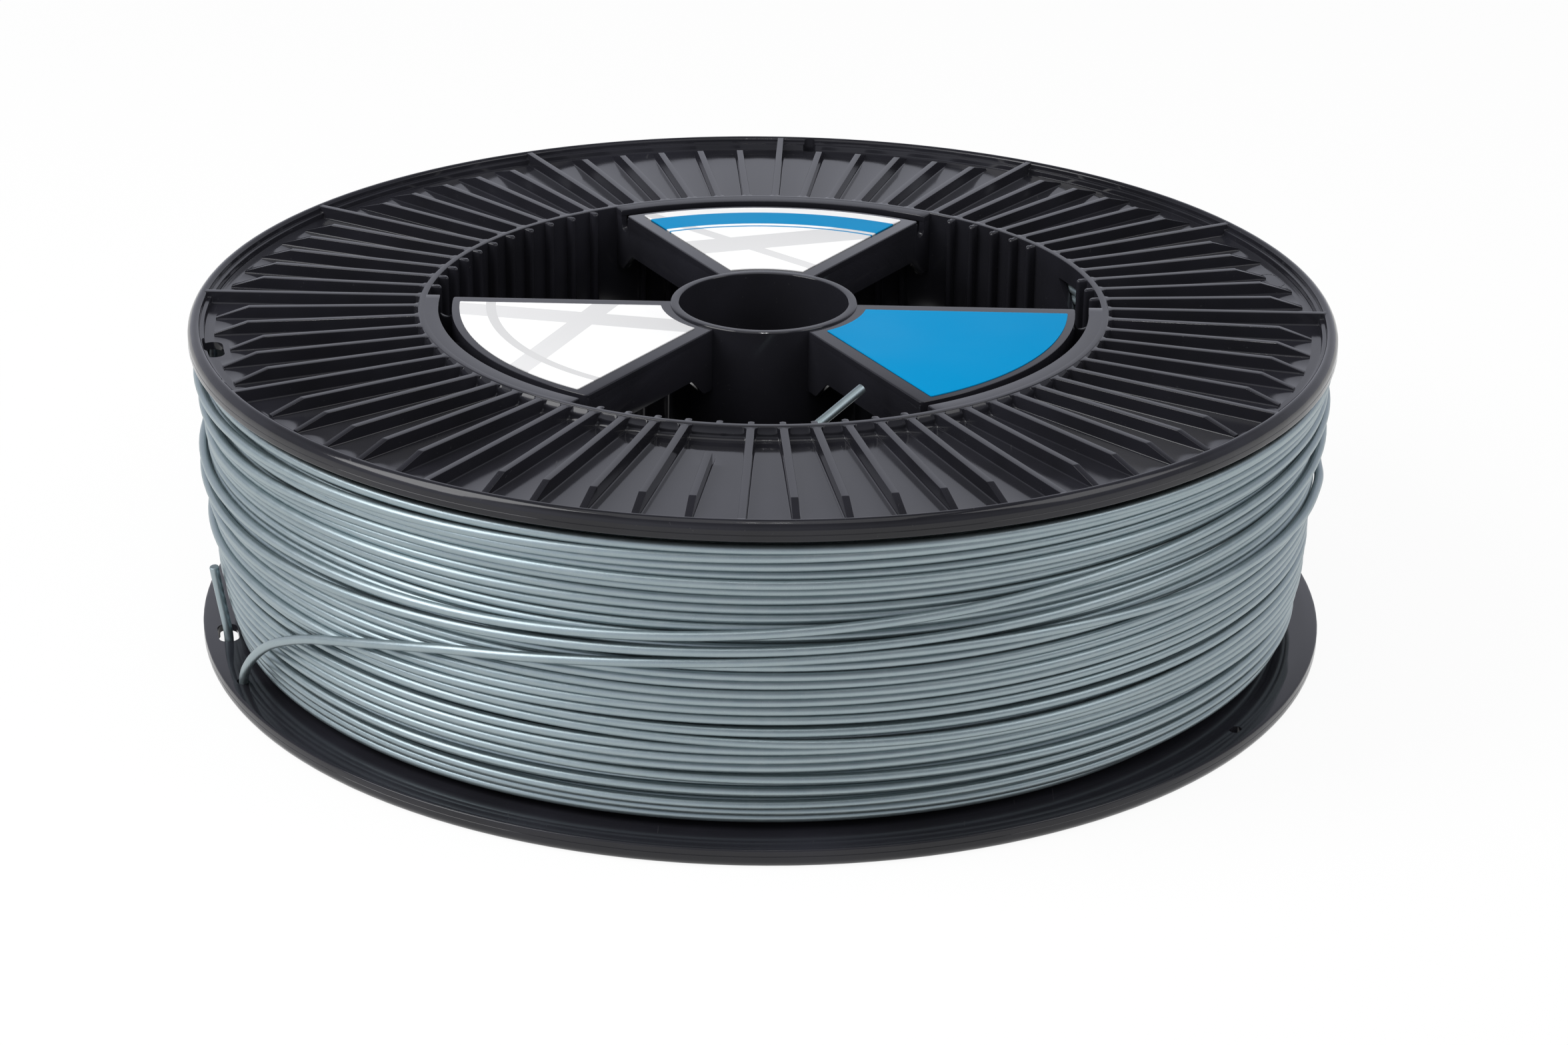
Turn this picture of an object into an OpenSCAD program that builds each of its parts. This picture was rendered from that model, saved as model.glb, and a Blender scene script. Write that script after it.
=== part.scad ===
// Large filament spool: two ribbed plastic halves joined at mid-width, three
// label plates round the hub, and a full winding of filament whose outer end
// is tucked through the lower flange.
// Millimetres. The spool lies flat: the floor is z = 0 and the bore is the Z axis.
// Angles are in degrees round the bore, and the ribs stand on multiples of rib_step.

/* [Spool] */
// Outer diameter of both flanges
spool_d = 350; // [340:1:380]
// Overall width, from one outer face to the other
spool_w = 103; // [95:1:130]
// Bore through the hub
bore_d = 52; // [40:1:54]

/* [Hub and drum] */
// Wall of the hub tube
hub_wall = 2.7; // [2:0.1:4]
// How far each hub lip stands above the label plates
lip_h = 0.6; // [0.4:0.1:1.2]
// Length of the lap where the two hub halves plug together
lap_len = 6; // [3:0.5:12]
// Radial clearance in that lap
lap_gap = 0.1; // [0.05:0.05:0.3]
// Wall of the drum, which stands round the label plates and their outer rings
drum_wall = 2; // [1.5:0.1:2.4]
// How far the ribs inside the drum stand in from its wall
drum_rib = 3; // [2:0.1:3.6]
// Thickness of the ribs inside the drum
drum_rib_t = 2; // [1.2:0.1:2.4]
// Rounding at the inner end of their tops
drum_rib_round = 1; // [0.4:0.1:1.8]

/* [Flange] */
// Thickness of the flange web
web_t = 4; // [3:0.1:5]
// Height of the ribs above the web
rib_h = 3.8; // [3:0.1:5]
// How far the ribs' tops lie below the rim bead and the drum's edge
rib_drop = 0.2; // [0.1:0.1:1]
// Thickness of the flange ribs
rib_t = 2; // [1.4:0.1:2.6]
// How far inside the rim a short rib starts to slope down
knee_in = 18; // [15:1:30]
// How far inside the rim its slope reaches the web
tip_in = 7.5; // [7:0.5:12]
// Width of the rim bead
rim_w = 3.4; // [2.8:0.1:3.6]
// Width of the ledge inside the bead
ledge_w = 1.3; // [0.8:0.1:1.4]
// How far the ledge lies below the bead's top
ledge_drop = 1.6; // [1:0.1:2.4]
// Radial reach of the bead's rounding
bead_round = 2.2; // [1:0.1:2.6]
// Height of the bead's rounding, above and below
bead_rise = 3.2; // [1:0.1:3.6]
// Angle of the shortened rib beside the tie slot, and of the one opposite, less 180
short_rib_a = 195; // [185:5:205]
// How much shorter those two ribs are
short_rib_cut = 4; // [2:0.5:8]
// Angle of the rib whose inner end is left out
stub_rib_a = 265; // [245:5:265]
// How far outside the drum that rib starts
stub_rib_gap = 20.5; // [10:0.5:34]

/* [Filament holes] */
// Angle of the tie slot in each flange
slot_a = 194.8; // [194.5:0.1:195.2]
// How far inside the rim the tie slot's middle lies
slot_in = 7.6; // [7.2:0.1:7.8]
// Length of the tie slot
slot_len = 13; // [12.6:0.1:14]
// Width of the tie slot
slot_w = 5.4; // [5.2:0.1:5.6]
// Angle of the first of the three small holes near the rim
hole_a = 206.6; // [205:0.1:208]
// How far inside the rim the small holes' middle lies
hole_in = 4.7; // [4.2:0.1:5.4]
// Width of the small holes
hole_w = 4.2; // [3.8:0.1:4.6]
// Length of the small holes, which run round the rim
hole_len = 6.4; // [5:0.1:8]
// Height of the slanted slots in the drum wall
drum_slot_h = 11; // [9:0.5:12]
// Width of the slanted slots along the drum wall
drum_slot_w = 18; // [16:0.5:19]
// Angle of the spare slot's upper corner
spare_slot_a = 26.8; // [26.4:0.1:27.4]
// Depth of the spare slot's top edge below the outer face
spare_slot_z = 6.5; // [5:0.5:10]
// Angle of the upper corner of the slot that the filament starts from
start_slot_a = 269; // [268.6:0.1:269.4]
// Depth of that slot's top edge below the outer face
start_slot_z = 16.5; // [16:0.1:17]

/* [Label plates] */
// Thickness of the label plates
plate_t = 2; // [1.5:0.1:3]
// Outer radius of the label plates
plate_r = 95.5; // [90:0.5:96]
// Depth of the walls round a plate
wall_depth = 14; // [10:0.5:18]
// Thickness of those walls
wall_t = 2; // [1.5:0.1:3]
// How far the wall ends reach below the walls, at the hub and the drum
gusset_h = 6; // [3:0.5:9]
// Width of the flat foot of such an end
gusset_foot = 5.5; // [4:0.5:8]
// Width of the groove between a plate and its outer ring
groove_w = 4; // [3:0.1:4.4]
// Width of that ring, from the groove to the drum wall
ring_w = 4; // [3.4:0.1:6]
// Depth of the notch where the groove crosses a wall
notch_h = 6.6; // [4:0.1:9]
// Thickness of the labels
label_t = 0.3; // [0.2:0.05:0.4]
// How far a label stays inside its plate's straight edges
label_side = 5; // [3:0.1:8]
// How far a label stays inside its plate's outer edge
label_edge = 2.4; // [1:0.1:5]
// How far a label stays clear of the hub
label_hub = 3; // [2:0.1:6]

/* [Filament] */
// Diameter of the filament
filament_d = 2.85; // [1.75:0.05:3]
// How far inside the rim the outer layer's middle line lies
pack_in = 6.5; // [6.2:0.1:9]
// How much smaller that radius is at the lower flange
pack_drop = 4.5; // [3:0.1:6]
// Height above the lower flange over which it grows to its full size
pack_rise = 34; // [26:0.5:40]
// Loops in the outer layer
layer_loops = 22; // [8:1:22]
// Gap between the winding and the spool, and between its solids
pack_gap = 0.3; // [0.2:0.05:0.5]
// Step outward from the outer layer to the filament that crosses it
cross_step = 3.45; // [3.4:0.05:3.8]

/* [Hidden] */

$fn = 96;
plastic = [0.09, 0.09, 0.10];
silver = [0.62, 0.67, 0.70];
paper = [0.92, 0.92, 0.93];
blue = [0.00, 0.56, 0.83];

// Pattern angles
rib_step = 5;         // between neighbouring ribs
main_step = 30;       // between the ribs that reach the rim
plate_span = 60;      // covered by one label plate, and by one window
back_a = 60;          // where each label plate starts
left_a = 180;
right_a = 300;
hole_step = 120;      // between the small holes near the rim
slot_gap = [20, 30];  // no ribs inside the drum here, beside the spare slot
bridges = [-15, 0, 15]; // from a plate's middle to the ribs across its groove

// Derived sizes
mid_z = spool_w / 2;
spool_r = spool_d / 2;
bore_r = bore_d / 2;
hub_r = bore_r + hub_wall;
ring_in = plate_r + groove_w;
drum_in = ring_in + ring_w;
drum_r = drum_in + drum_wall;
rib_in = drum_in - drum_rib;
knee_r = spool_r - knee_in;
tip_r = spool_r - tip_in;
slot_r = spool_r - slot_in;
hole_r = spool_r - hole_in;
pack_r = spool_r - pack_in;
stub_rib_r = drum_r + stub_rib_gap;
rib_top = spool_w - rib_drop;
web_top = rib_top - rib_h;
web_low = web_top - web_t;
bead_in = spool_r - rim_w;
ledge_in = bead_in - ledge_w;
plate_top = spool_w - lip_h;
wall_low = spool_w - wall_depth;
ring_low = spool_w - plate_t;
slope = (tip_r - knee_r) / rib_h;
weld = 1;             // how far joined shapes reach into each other
step = 0.5;           // between edges of joined shapes that would otherwise be flush
lip = 0.1;            // how far a plate's straight edges stand out from the walls under them
over = 20;            // how far cutters reach past what they cut

// ---------- shared shapes ----------

function polar(r, a) = [r * cos(a), r * sin(a)];
function arc(cx, cy, rx, ry, a0, a1, n) =
    [for (i = [0:n]) let (a = a0 + (a1 - a0) * i / n) [cx + rx * cos(a), cy + ry * sin(a)]];

// A half is drawn as the upper one; the lower one is its mirror image
module half(upper) {
    if (upper) children();
    else translate([0, 0, spool_w]) mirror([0, 0, 1]) children();
}

// A flat plate beside the radial plane at angle a; its outline is in (radius, height)
module radial_plate(a, t, outline, shift = 0) {
    rotate([0, 0, a]) translate([0, shift, 0]) rotate([90, 0, 0])
        linear_extrude(height = t, center = true) polygon(outline);
}

// The part of a revolved outline that lies over one plate's span, less inset along each straight edge
module sector(outline, inset = 0) {
    reach = 2 * spool_r;
    intersection() {
        rotate_extrude() polygon(outline);
        translate([inset / sin(plate_span / 2), 0, 0]) linear_extrude(height = 2 * spool_w)
            polygon([[0, 0], polar(reach, -plate_span / 2), polar(reach, plate_span / 2)]);
    }
}

function block(r_in, r_out, z0, z1) = [[r_in, z0], [r_out, z0], [r_out, z1], [r_in, z1]];

// A slot with round ends, lying round the bore at radius r and angle a
module round_slot(r, a, length, width, z0, z1) {
    run = length - width;
    rotate([0, 0, a]) translate([r, 0, z0]) {
        translate([-width / 2, -run / 2, 0]) cube([width, run, z1 - z0]);
        for (s = [-1, 1]) translate([0, s * run / 2, 0]) cylinder(d = width, h = z1 - z0, $fn = 32);
    }
}

// A slot through the drum wall with one slanted end; a is its upper corner's angle, top its upper edge
module slanted_slot(a, top) {
    rotate([0, 0, a]) translate([rib_in - 2 * weld, 0, top]) rotate([90, 0, 90])
        linear_extrude(height = drum_wall + drum_rib + 4 * weld)
        polygon([[0, 0], [-drum_slot_w, 0], [-drum_slot_w, -drum_slot_h], [-drum_slot_h, -drum_slot_h]]);
}

// ---------- flanges ----------

function rim_outline() = concat(
    [[drum_r - over, web_low]],
    arc(spool_r - bead_round, web_low + bead_rise, bead_round, bead_rise, -90, 0, 6),
    arc(spool_r - bead_round, spool_w - bead_rise, bead_round, bead_rise, 0, 90, 6),
    [[bead_in, spool_w], [bead_in, spool_w - ledge_drop], [ledge_in, spool_w - ledge_drop],
     [ledge_in, web_top], [drum_r - over, web_top]]);

function rib_start(a) = a == stub_rib_a ? stub_rib_r : drum_r - weld;
function rib_cut(a) = a % 180 == short_rib_a % 180 ? short_rib_cut : 0;

module flange_rib(a) {
    low = web_top - weld;
    cut = rib_cut(a);
    if (a % main_step == 0)
        radial_plate(a, rib_t, block(rib_start(a), bead_in + step, low, rib_top));
    else
        radial_plate(a, rib_t, [[rib_start(a), low], [tip_r - cut + slope * weld, low],
            [knee_r - cut, rib_top], [rib_start(a), rib_top]]);
}

module flange() {
    color(plastic) difference() {
        union() {
            rotate_extrude() polygon(rim_outline());
            for (a = [0:rib_step:355]) flange_rib(a);
        }
        translate([0, 0, web_low - over]) cylinder(r = drum_r, h = spool_w - web_low + 2 * over);
        round_slot(slot_r, slot_a, slot_len, slot_w, web_low - weld, spool_w + weld);
        for (k = [0:2])
            round_slot(hole_r, hole_a + hole_step * k, hole_len, hole_w, web_low - weld, spool_w + weld);
    }
}

// ---------- drum ----------

function in_plate(a) = (a % (2 * plate_span)) >= plate_span || a % (2 * plate_span) == 0;
function has_drum_rib(a) = a % plate_span != 0 && !(a >= slot_gap[0] && a <= slot_gap[1]);
function drum_rib_top(a) = in_plate(a) ? ring_low : rib_top;

module drum_rib_at(a) {
    top = drum_rib_top(a);
    low = mid_z + step;
    root = drum_in + drum_wall / 2;
    r = drum_rib_round;
    radial_plate(a, drum_rib_t, concat([[root, low], [root, top]],
        in_plate(a) ? [[rib_in, top]] : arc(rib_in + r, top - r, r, r, 90, 180, 5),
        [[rib_in, low]]));
}

module drum(upper) {
    color(plastic) difference() {
        union() {
            rotate_extrude() polygon(block(drum_in, drum_r, mid_z, spool_w));
            for (a = [0:rib_step:355]) if (has_drum_rib(a)) drum_rib_at(a);
        }
        if (upper) {
            slanted_slot(spare_slot_a, spool_w - spare_slot_z);
            slanted_slot(start_slot_a, spool_w - start_slot_z);
        }
    }
}

// ---------- hub ----------

// The upper hub's skirt goes over the lower hub's spigot
module hub(upper) {
    lap_r = bore_r + hub_wall / 2;
    lap_low = mid_z - lap_len / 2;
    lap_high = mid_z + lap_len / 2;
    color(plastic) rotate_extrude() polygon(upper
        ? [[bore_r, lap_high], [lap_r, lap_high], [lap_r, lap_low],
           [hub_r, lap_low], [hub_r, spool_w], [bore_r, spool_w]]
        : [[bore_r, lap_low], [lap_r - lap_gap, lap_low], [lap_r - lap_gap, lap_high],
           [hub_r, lap_high], [hub_r, spool_w], [bore_r, spool_w]]);
}

// ---------- label plates ----------

tray_outline = [[hub_r - weld, plate_top - plate_t], [plate_r - wall_t, plate_top - plate_t],
    [plate_r - wall_t, wall_low + step], [plate_r, wall_low + step], [plate_r, plate_top],
    [hub_r - weld, plate_top]];

// A wall hangs under each straight edge, from the hub to the drum, and dips under the groove
wall_outline = [[hub_r - weld, plate_top - plate_t / 2], [hub_r - weld, wall_low - gusset_h],
    [hub_r + gusset_foot, wall_low - gusset_h], [hub_r + gusset_foot + gusset_h, wall_low],
    [drum_in - gusset_foot - gusset_h, wall_low], [drum_in - gusset_foot, wall_low - gusset_h],
    [drum_in + weld, wall_low - gusset_h], [drum_in + weld, spool_w - plate_t / 2],
    [ring_in + step, spool_w - plate_t / 2], [ring_in + step, spool_w - notch_h],
    [plate_r - wall_t / 2, spool_w - notch_h], [plate_r - wall_t / 2, plate_top - plate_t / 2]];

module label_plate(a0) {
    bridge = block(plate_r - wall_t / 2, rib_in, wall_low + 2 * step, spool_w - notch_h);
    color(plastic) rotate([0, 0, a0 + plate_span / 2]) difference() {
        intersection() {
            union() {
                sector(tray_outline);
                sector(block(ring_in, drum_in + weld, ring_low, spool_w));
                for (s = [-1, 1])
                    radial_plate(s * plate_span / 2, wall_t, wall_outline, -s * (wall_t / 2 + lip));
                for (b = bridges) radial_plate(b, drum_rib_t, bridge);
            }
            cylinder(r = drum_in, h = spool_w + weld);
        }
        cylinder(r = hub_r, h = spool_w + weld);
    }
}

module label(a0, tint) {
    color(tint) rotate([0, 0, a0 + plate_span / 2])
        sector(block(hub_r + label_hub, plate_r - label_edge, plate_top, plate_top + label_t), label_side);
}

// ---------- filament ----------

steps = 24;                     // rings in a loop
turn = 360 / steps;
sides = 6;                      // of the wound strand
start_sides = 8;                // of the free inner end
start_a = 285;                  // where the outer layer starts and stops
lift_steps = 3;                 // rings over which it climbs onto itself
cross_steps = 20;               // rings over which it then comes down to the tail
tail_z = 60.8;                  // height where the tail starts
face_low = spool_w - web_low;
face_high = web_low;
layer_low = face_low + pack_gap + filament_d / 2;
layer_high = face_high - pack_gap - filament_d / 2;

function layer_r(z) = pack_r - pack_drop * pow(max(0, 1 - (z - layer_low) / pack_rise), 2);
function core_r(z) = layer_r(z) * cos(turn / 2) - filament_d / 2 - pack_gap;
function place(a, r, z) = [r * cos(a), r * sin(a), z];

// The layer leaves the core square to it and bends into its first loop:
// each row is an angle before the start and a radius beyond the core
bend_in = [[6, 0], [6, filament_d], [5.75, filament_d + 1.7], [5.1, filament_d + 2.4],
    [4, filament_d + 2.1], [2.2, filament_d + 1]];

function entry_path() = [for (q = bend_in) place(start_a + q[0], core_r(layer_low) + q[1], layer_low)];
function layer_path() = [for (i = [0:layer_loops * steps])
    let (z = layer_low + (layer_high - layer_low) * i / (layer_loops * steps))
    place(start_a - turn * i, layer_r(z), z)];
function lift_path() = [for (i = [1:lift_steps])
    place(start_a - turn * i, layer_r(layer_high) + cross_step * i / lift_steps, layer_high)];
function cross_path() = [for (i = [1:cross_steps])
    let (z = layer_high + (tail_z - layer_high) * i / cross_steps)
    place(start_a - turn * (lift_steps + i), layer_r(z) + cross_step, z)];

// The tail, as angle, depth inside the rim and height: over the layer, down through the small
// hole, along under the web, up through the tie slot and out to its cut end
tail = [
    [295, 3, 60.6], [290, 3, 60.4], [285, 3, 60.2], [280, 3, 60], [275, 3, 59.8], [270, 3, 59.6],
    [265, 3, 59.4], [260, 3, 59], [255, 3, 58], [250, 3, 56.4], [245, 3, 54.4], [240, 3, 52],
    [235, 3, 49.4], [230, 3, 46], [225, 3, 41.8], [221, 3, 37.4], [217.4, 3, 32.6],
    [214.6, 3.4, 28], [212, 3.8, 23], [209.8, 4.2, 18], [208, 4.6, 13], [207, 4.7, 9],
    [206.7, 4.7, 6], [206.3, 4.8, 4], [205.6, 5, 2.8], [204.6, 5.5, 2.3], [203, 6, 2.2],
    [201, 6.3, 2.2], [199, 6.4, 2.2], [197.8, 6.5, 2.4], [196.9, 6.7, 3.1], [196.3, 6.9, 4.6],
    [196, 6.9, 7], [195.9, 6.5, 11], [195.9, 5.4, 18], [196.1, 4.3, 25], [196.4, 3.4, 31]];

// The inner end, from the core through the start slot into the window, as angle, radius beyond
// the core's inner side and depth below the outer face, and then as x, y and that depth
inner_exit = [[260.6, 0, 23.6], [260.6, -filament_d, 23.6]];
inner_end = [[-15.6, -99.6, 23.3], [-13.1, -97.8, 22.5], [-8.4, -96, 20.8], [-3.2, -94.1, 18.8],
    [2.6, -91.6, 16.3], [8.2, -88.4, 13.6], [13.4, -85, 11], [18.5, -81.4, 8.4],
    [24.7, -75, 5.2], [30.8, -68.9, 1.9]];

function turns_path() = concat(entry_path(), layer_path(), lift_path(), cross_path(),
    [for (q = tail) place(q[0], spool_r - q[1], q[2])]);

function unit(v) = v / norm(v);
function tangents(p) = let (n = len(p) - 1) [for (i = [0:n])
    unit((i > 0 ? unit(p[i] - p[i - 1]) : [0, 0, 0]) + (i < n ? unit(p[i + 1] - p[i]) : [0, 0, 0]))];
function square_to(v, t) = unit(v - (v * t) * t);

// One unbroken tube along the points p, with triangular faces
module tube(p, d, n) {
    t = tangents(p);
    last = len(p) - 1;
    across = [for (i = 0, u = square_to([0, 0, 1], t[0]); i <= last;
        i = i + 1, u = i <= last ? square_to(u, t[i]) : u) u];
    points = [for (i = [0:last]) for (k = [0:n - 1])
        p[i] + d / 2 * (cos(360 * k / n) * across[i] + sin(360 * k / n) * cross(t[i], across[i]))];
    walls = [for (i = [0:last - 1]) for (k = [0:n - 1])
        let (a = i * n + k, b = i * n + (k + 1) % n) each [[a, a + n, b], [b, a + n, b + n]]];
    caps = [for (k = [1:n - 2]) each [[0, k, k + 1], [last * n, last * n + k + 1, last * n + k]]];
    polyhedron(points, concat(walls, caps));
}

// Least distance from each point of a path to the stretches of it that are not its neighbours
function to_stretch(q, a, b) =
    let (s = b - a, f = max(0, min(1, (q - a) * s / (s * s)))) norm(q - a - f * s);
function least_gap(p, d, skip = 7) = min([for (i = [0:len(p) - 1]) for (j = [i + skip:1:len(p) - 2])
    to_stretch(p[i], p[j], p[j + 1])]) - d;

module filament_core() {
    low = face_low + pack_gap;
    high = face_high - pack_gap;
    color(silver) rotate_extrude() polygon(concat(
        [[drum_r + pack_gap, high], [drum_r + pack_gap, low], [core_r(layer_low), low]],
        [for (i = [0:8]) let (z = layer_low + pack_rise * i / 8) [core_r(z), z]],
        [[core_r(high), high]]));
}

module filament_turns() {
    path = turns_path();
    echo(least_gap_of_turns = least_gap(path, filament_d), triangles = 2 * sides * len(path) - 4);
    color(silver) tube(path, filament_d, sides);
}

module filament_start() {
    exit = [for (q = inner_exit) place(q[0], drum_r + pack_gap + q[1], spool_w - q[2])];
    free = [for (q = inner_end) [q[0], q[1], spool_w - q[2]]];
    color(silver) tube(concat(exit, free), filament_d, start_sides);
}

// ---------- the spool ----------

half(true) flange();  // upper_flange
half(true) drum(true);  // upper_drum
half(true) hub(true);  // upper_hub
half(true) label_plate(back_a);  // upper_plate_back
half(true) label_plate(left_a);  // upper_plate_left
half(true) label_plate(right_a);  // upper_plate_right
half(false) flange();  // lower_flange
half(false) drum(false);  // lower_drum
half(false) hub(false);  // lower_hub
half(false) label_plate(back_a);  // lower_plate_back
half(false) label_plate(left_a);  // lower_plate_left
half(false) label_plate(right_a);  // lower_plate_right
label(back_a, paper);  // label_back
label(left_a, paper);  // label_left
label(right_a, blue);  // label_right
filament_core();
filament_turns();
filament_start();
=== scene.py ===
"""Looks of the filament spool: rounded mouldings, labels and the wound strand, fitted to the CAD frame."""
import math

import bpy
import numpy as np
from mathutils import Matrix, Vector


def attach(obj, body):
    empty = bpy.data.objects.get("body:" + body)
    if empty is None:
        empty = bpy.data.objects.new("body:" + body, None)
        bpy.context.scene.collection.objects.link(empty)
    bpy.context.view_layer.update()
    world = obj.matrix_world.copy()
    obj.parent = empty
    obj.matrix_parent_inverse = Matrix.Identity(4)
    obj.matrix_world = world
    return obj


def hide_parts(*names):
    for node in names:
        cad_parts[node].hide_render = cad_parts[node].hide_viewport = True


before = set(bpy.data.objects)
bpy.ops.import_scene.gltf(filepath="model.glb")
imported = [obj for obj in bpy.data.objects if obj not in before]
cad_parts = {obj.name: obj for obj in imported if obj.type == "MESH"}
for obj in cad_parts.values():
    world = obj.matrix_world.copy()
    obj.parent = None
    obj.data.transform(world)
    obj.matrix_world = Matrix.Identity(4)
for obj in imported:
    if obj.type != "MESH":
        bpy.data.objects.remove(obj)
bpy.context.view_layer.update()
MM = 0.001

# ---------------------------------------------------------------- sizes, in mm, as in the CAD
WIDTH, RIM = 103.0, 175.0
RIB_TOP, WEB_TOP, WEB_LOW = 102.8, 99.0, 95.0
DRUM_OUT, DRUM_IN, NUB_IN = 105.5, 103.5, 100.5
HUB_IN, HUB_OUT = 26.0, 28.7
BEAD_IN, LEDGE_IN, LEDGE_TOP = 171.4, 170.1, 100.9
PLATE_TOP, PLATE_T, PLATE_R, WALL_LOW, WALL_T = 102.4, 2.0, 95.5, 89.0, 2.0
RING_IN, RING_LOW = 99.5, 101.0
STRAND = 2.85
MID = WIDTH / 2

# ---------------------------------------------------------------- camera
cam_data = bpy.data.cameras.new("photo_camera")
cam_data.lens, cam_data.sensor_width, cam_data.sensor_fit = 83.95, 36.0, "HORIZONTAL"
camera = bpy.data.objects.new("photo_camera", cam_data)
bpy.context.scene.collection.objects.link(camera)
right = Vector((0.99950966, 0.02937915, 0.01083093))
up = Vector((-0.02141579, 0.38906547, 0.92096114))
back = Vector((0.02284312, -0.92074151, 0.38950388))
camera.matrix_world = Matrix.Translation(Vector((0.03330269, -1.05970884, 0.477563))) @ Matrix(
    (right, up, back)).transposed().to_4x4()
bpy.context.scene.camera = camera


# ---------------------------------------------------------------- node helpers
class Nodes:
    """A short way to write a node tree: n(type, inputs..., settings) gives a node."""

    def __init__(self, tree):
        self.tree = tree
        tree.nodes.clear()

    def __call__(self, kind, *values, **settings):
        node = self.tree.nodes.new("ShaderNode" + kind)
        for key, value in settings.items():
            setattr(node, key, value)
        for i, value in enumerate(values):
            self.put(node.inputs[i], value)
        return node

    def put(self, socket, value):
        if value is None:
            return
        if isinstance(value, bpy.types.Node):
            value = value.outputs[0]
        if isinstance(value, bpy.types.NodeSocket):
            self.tree.links.new(value, socket)
        else:
            socket.default_value = value

    def math(self, op, a, b=None, clamp=False):
        return self("Math", a, b, operation=op, use_clamp=clamp)

    def add(self, a, b):
        return self.math("ADD", a, b)

    def times(self, a, b):
        return self.math("MULTIPLY", a, b)

    def ramp(self, value, low, high, out0=0.0, out1=1.0, smooth=False):
        node = self("MapRange", value, low, high, out0, out1)
        if smooth:
            node.interpolation_type = "SMOOTHSTEP"
        return node

    def mix(self, factor, a, b):
        node = self("Mix", data_type="RGBA")
        self.put(node.inputs["Factor"], factor)
        self.put(node.inputs[6], a)
        self.put(node.inputs[7], b)
        return node.outputs[2]

    def noise(self, vector, scale, detail=2.0, rough=0.5):
        node = self("TexNoise")
        for name, value in (("Vector", vector), ("Scale", scale), ("Detail", detail), ("Roughness", rough)):
            self.put(node.inputs[name], value)
        return node.outputs["Fac"]

    def bump(self, height, strength, distance):
        node = self("Bump")
        for name, value in (("Height", height), ("Strength", strength), ("Distance", distance)):
            self.put(node.inputs[name], value)
        return node

    def finish(self, **inputs):
        shader = self("BsdfPrincipled")
        for name, value in inputs.items():
            self.put(shader.inputs[name.replace("_", " ")], value)
        self("OutputMaterial", shader.outputs[0])


def material(name):
    mat = bpy.data.materials.new(name)
    mat.use_nodes = True
    return mat, Nodes(mat.node_tree)


def grey(v):
    return (v, v, v, 1.0)


def plastic_material(name):
    """Black moulded plastic: satin skin with faint grain, hairline scratches and dust specks."""
    mat, n = material(name)
    place = n("TexCoord").outputs["Object"]
    cells = n("TexVoronoi", feature="F1")
    n.put(cells.inputs["Vector"], place)
    n.put(cells.inputs["Scale"], 52.0)
    pick = n("SeparateColor", cells.outputs["Color"])
    size = n.ramp(pick.outputs[1], 0.0, 1.0, 0.006, 0.02)
    near = n.math("LESS_THAN", cells.outputs["Distance"], size)
    speck = n.times(near, n.math("LESS_THAN", pick.outputs[0], 0.5))
    film = n.noise(place, 22.0, 3.0, 0.6)
    stretched = n("VectorMath", place, (900.0, 60.0, 900.0), operation="MULTIPLY")
    hair = n.ramp(n.noise(stretched, 1.0, 2.0, 0.5), 0.72, 0.78)
    tint = n.mix(n.ramp(film, 0.35, 0.75), (0.013, 0.013, 0.01625, 1), (0.0208, 0.0208, 0.0273, 1))
    tint = n.mix(n.times(hair, 0.05), tint, grey(0.35))
    tint = n.mix(n.times(speck, 0.8), tint, grey(0.55))
    grain = n.noise(place, 1400.0, 2.0, 0.6)
    wave = n.noise(place, 60.0, 2.0, 0.5)
    height = n.add(n.times(grain, 0.25), wave)
    rough = n.add(n.ramp(film, 0.3, 0.8, 0.06, 0.18), n.times(hair, 0.1))
    n.finish(Base_Color=tint, Roughness=rough, Normal=n.bump(height, 0.2, 0.00003),
             Specular_IOR_Level=0.38, IOR=1.48)
    return mat


def filament_material(name):
    """Silver filament: satin, a little metallic, with faint rings across it and a fine sparkle."""
    mat, n = material(name)
    along = n("SeparateXYZ", n("TexCoord").outputs["UV"]).outputs[0]
    where = n("TexCoord").outputs["Object"]
    rings, slow = n("TexNoise", noise_dimensions="1D"), n("TexNoise", noise_dimensions="1D")
    for node, scale in ((rings, 1500.0), (slow, 9.0)):
        n.put(node.inputs["W"], n.times(along, scale))
        n.put(node.inputs["Scale"], 1.0)
        n.put(node.inputs["Detail"], 2.0)
    mottle = n.noise(where, 240.0, 3.0, 0.6)
    grain = n.noise(where, 3600.0, 1.0, 0.5)
    tint = n.mix(slow.outputs["Fac"], (0.282, 0.352, 0.374, 1), (0.34, 0.41, 0.437, 1))
    tint = n.mix(n.ramp(mottle, 0.35, 0.7, 0.0, 0.2), tint, (0.46, 0.51, 0.52, 1))
    tint = n.mix(n.ramp(grain, 0.6, 0.75, 0.0, 0.15), tint, (0.7, 0.75, 0.75, 1))
    height = n.add(n.times(rings.outputs["Fac"], 0.35), grain)
    rough = n.ramp(mottle, 0.3, 0.7, 0.37, 0.44)
    n.finish(Base_Color=tint, Roughness=rough, Metallic=0.85, Normal=n.bump(height, 0.3, 0.00002))
    return mat


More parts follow.
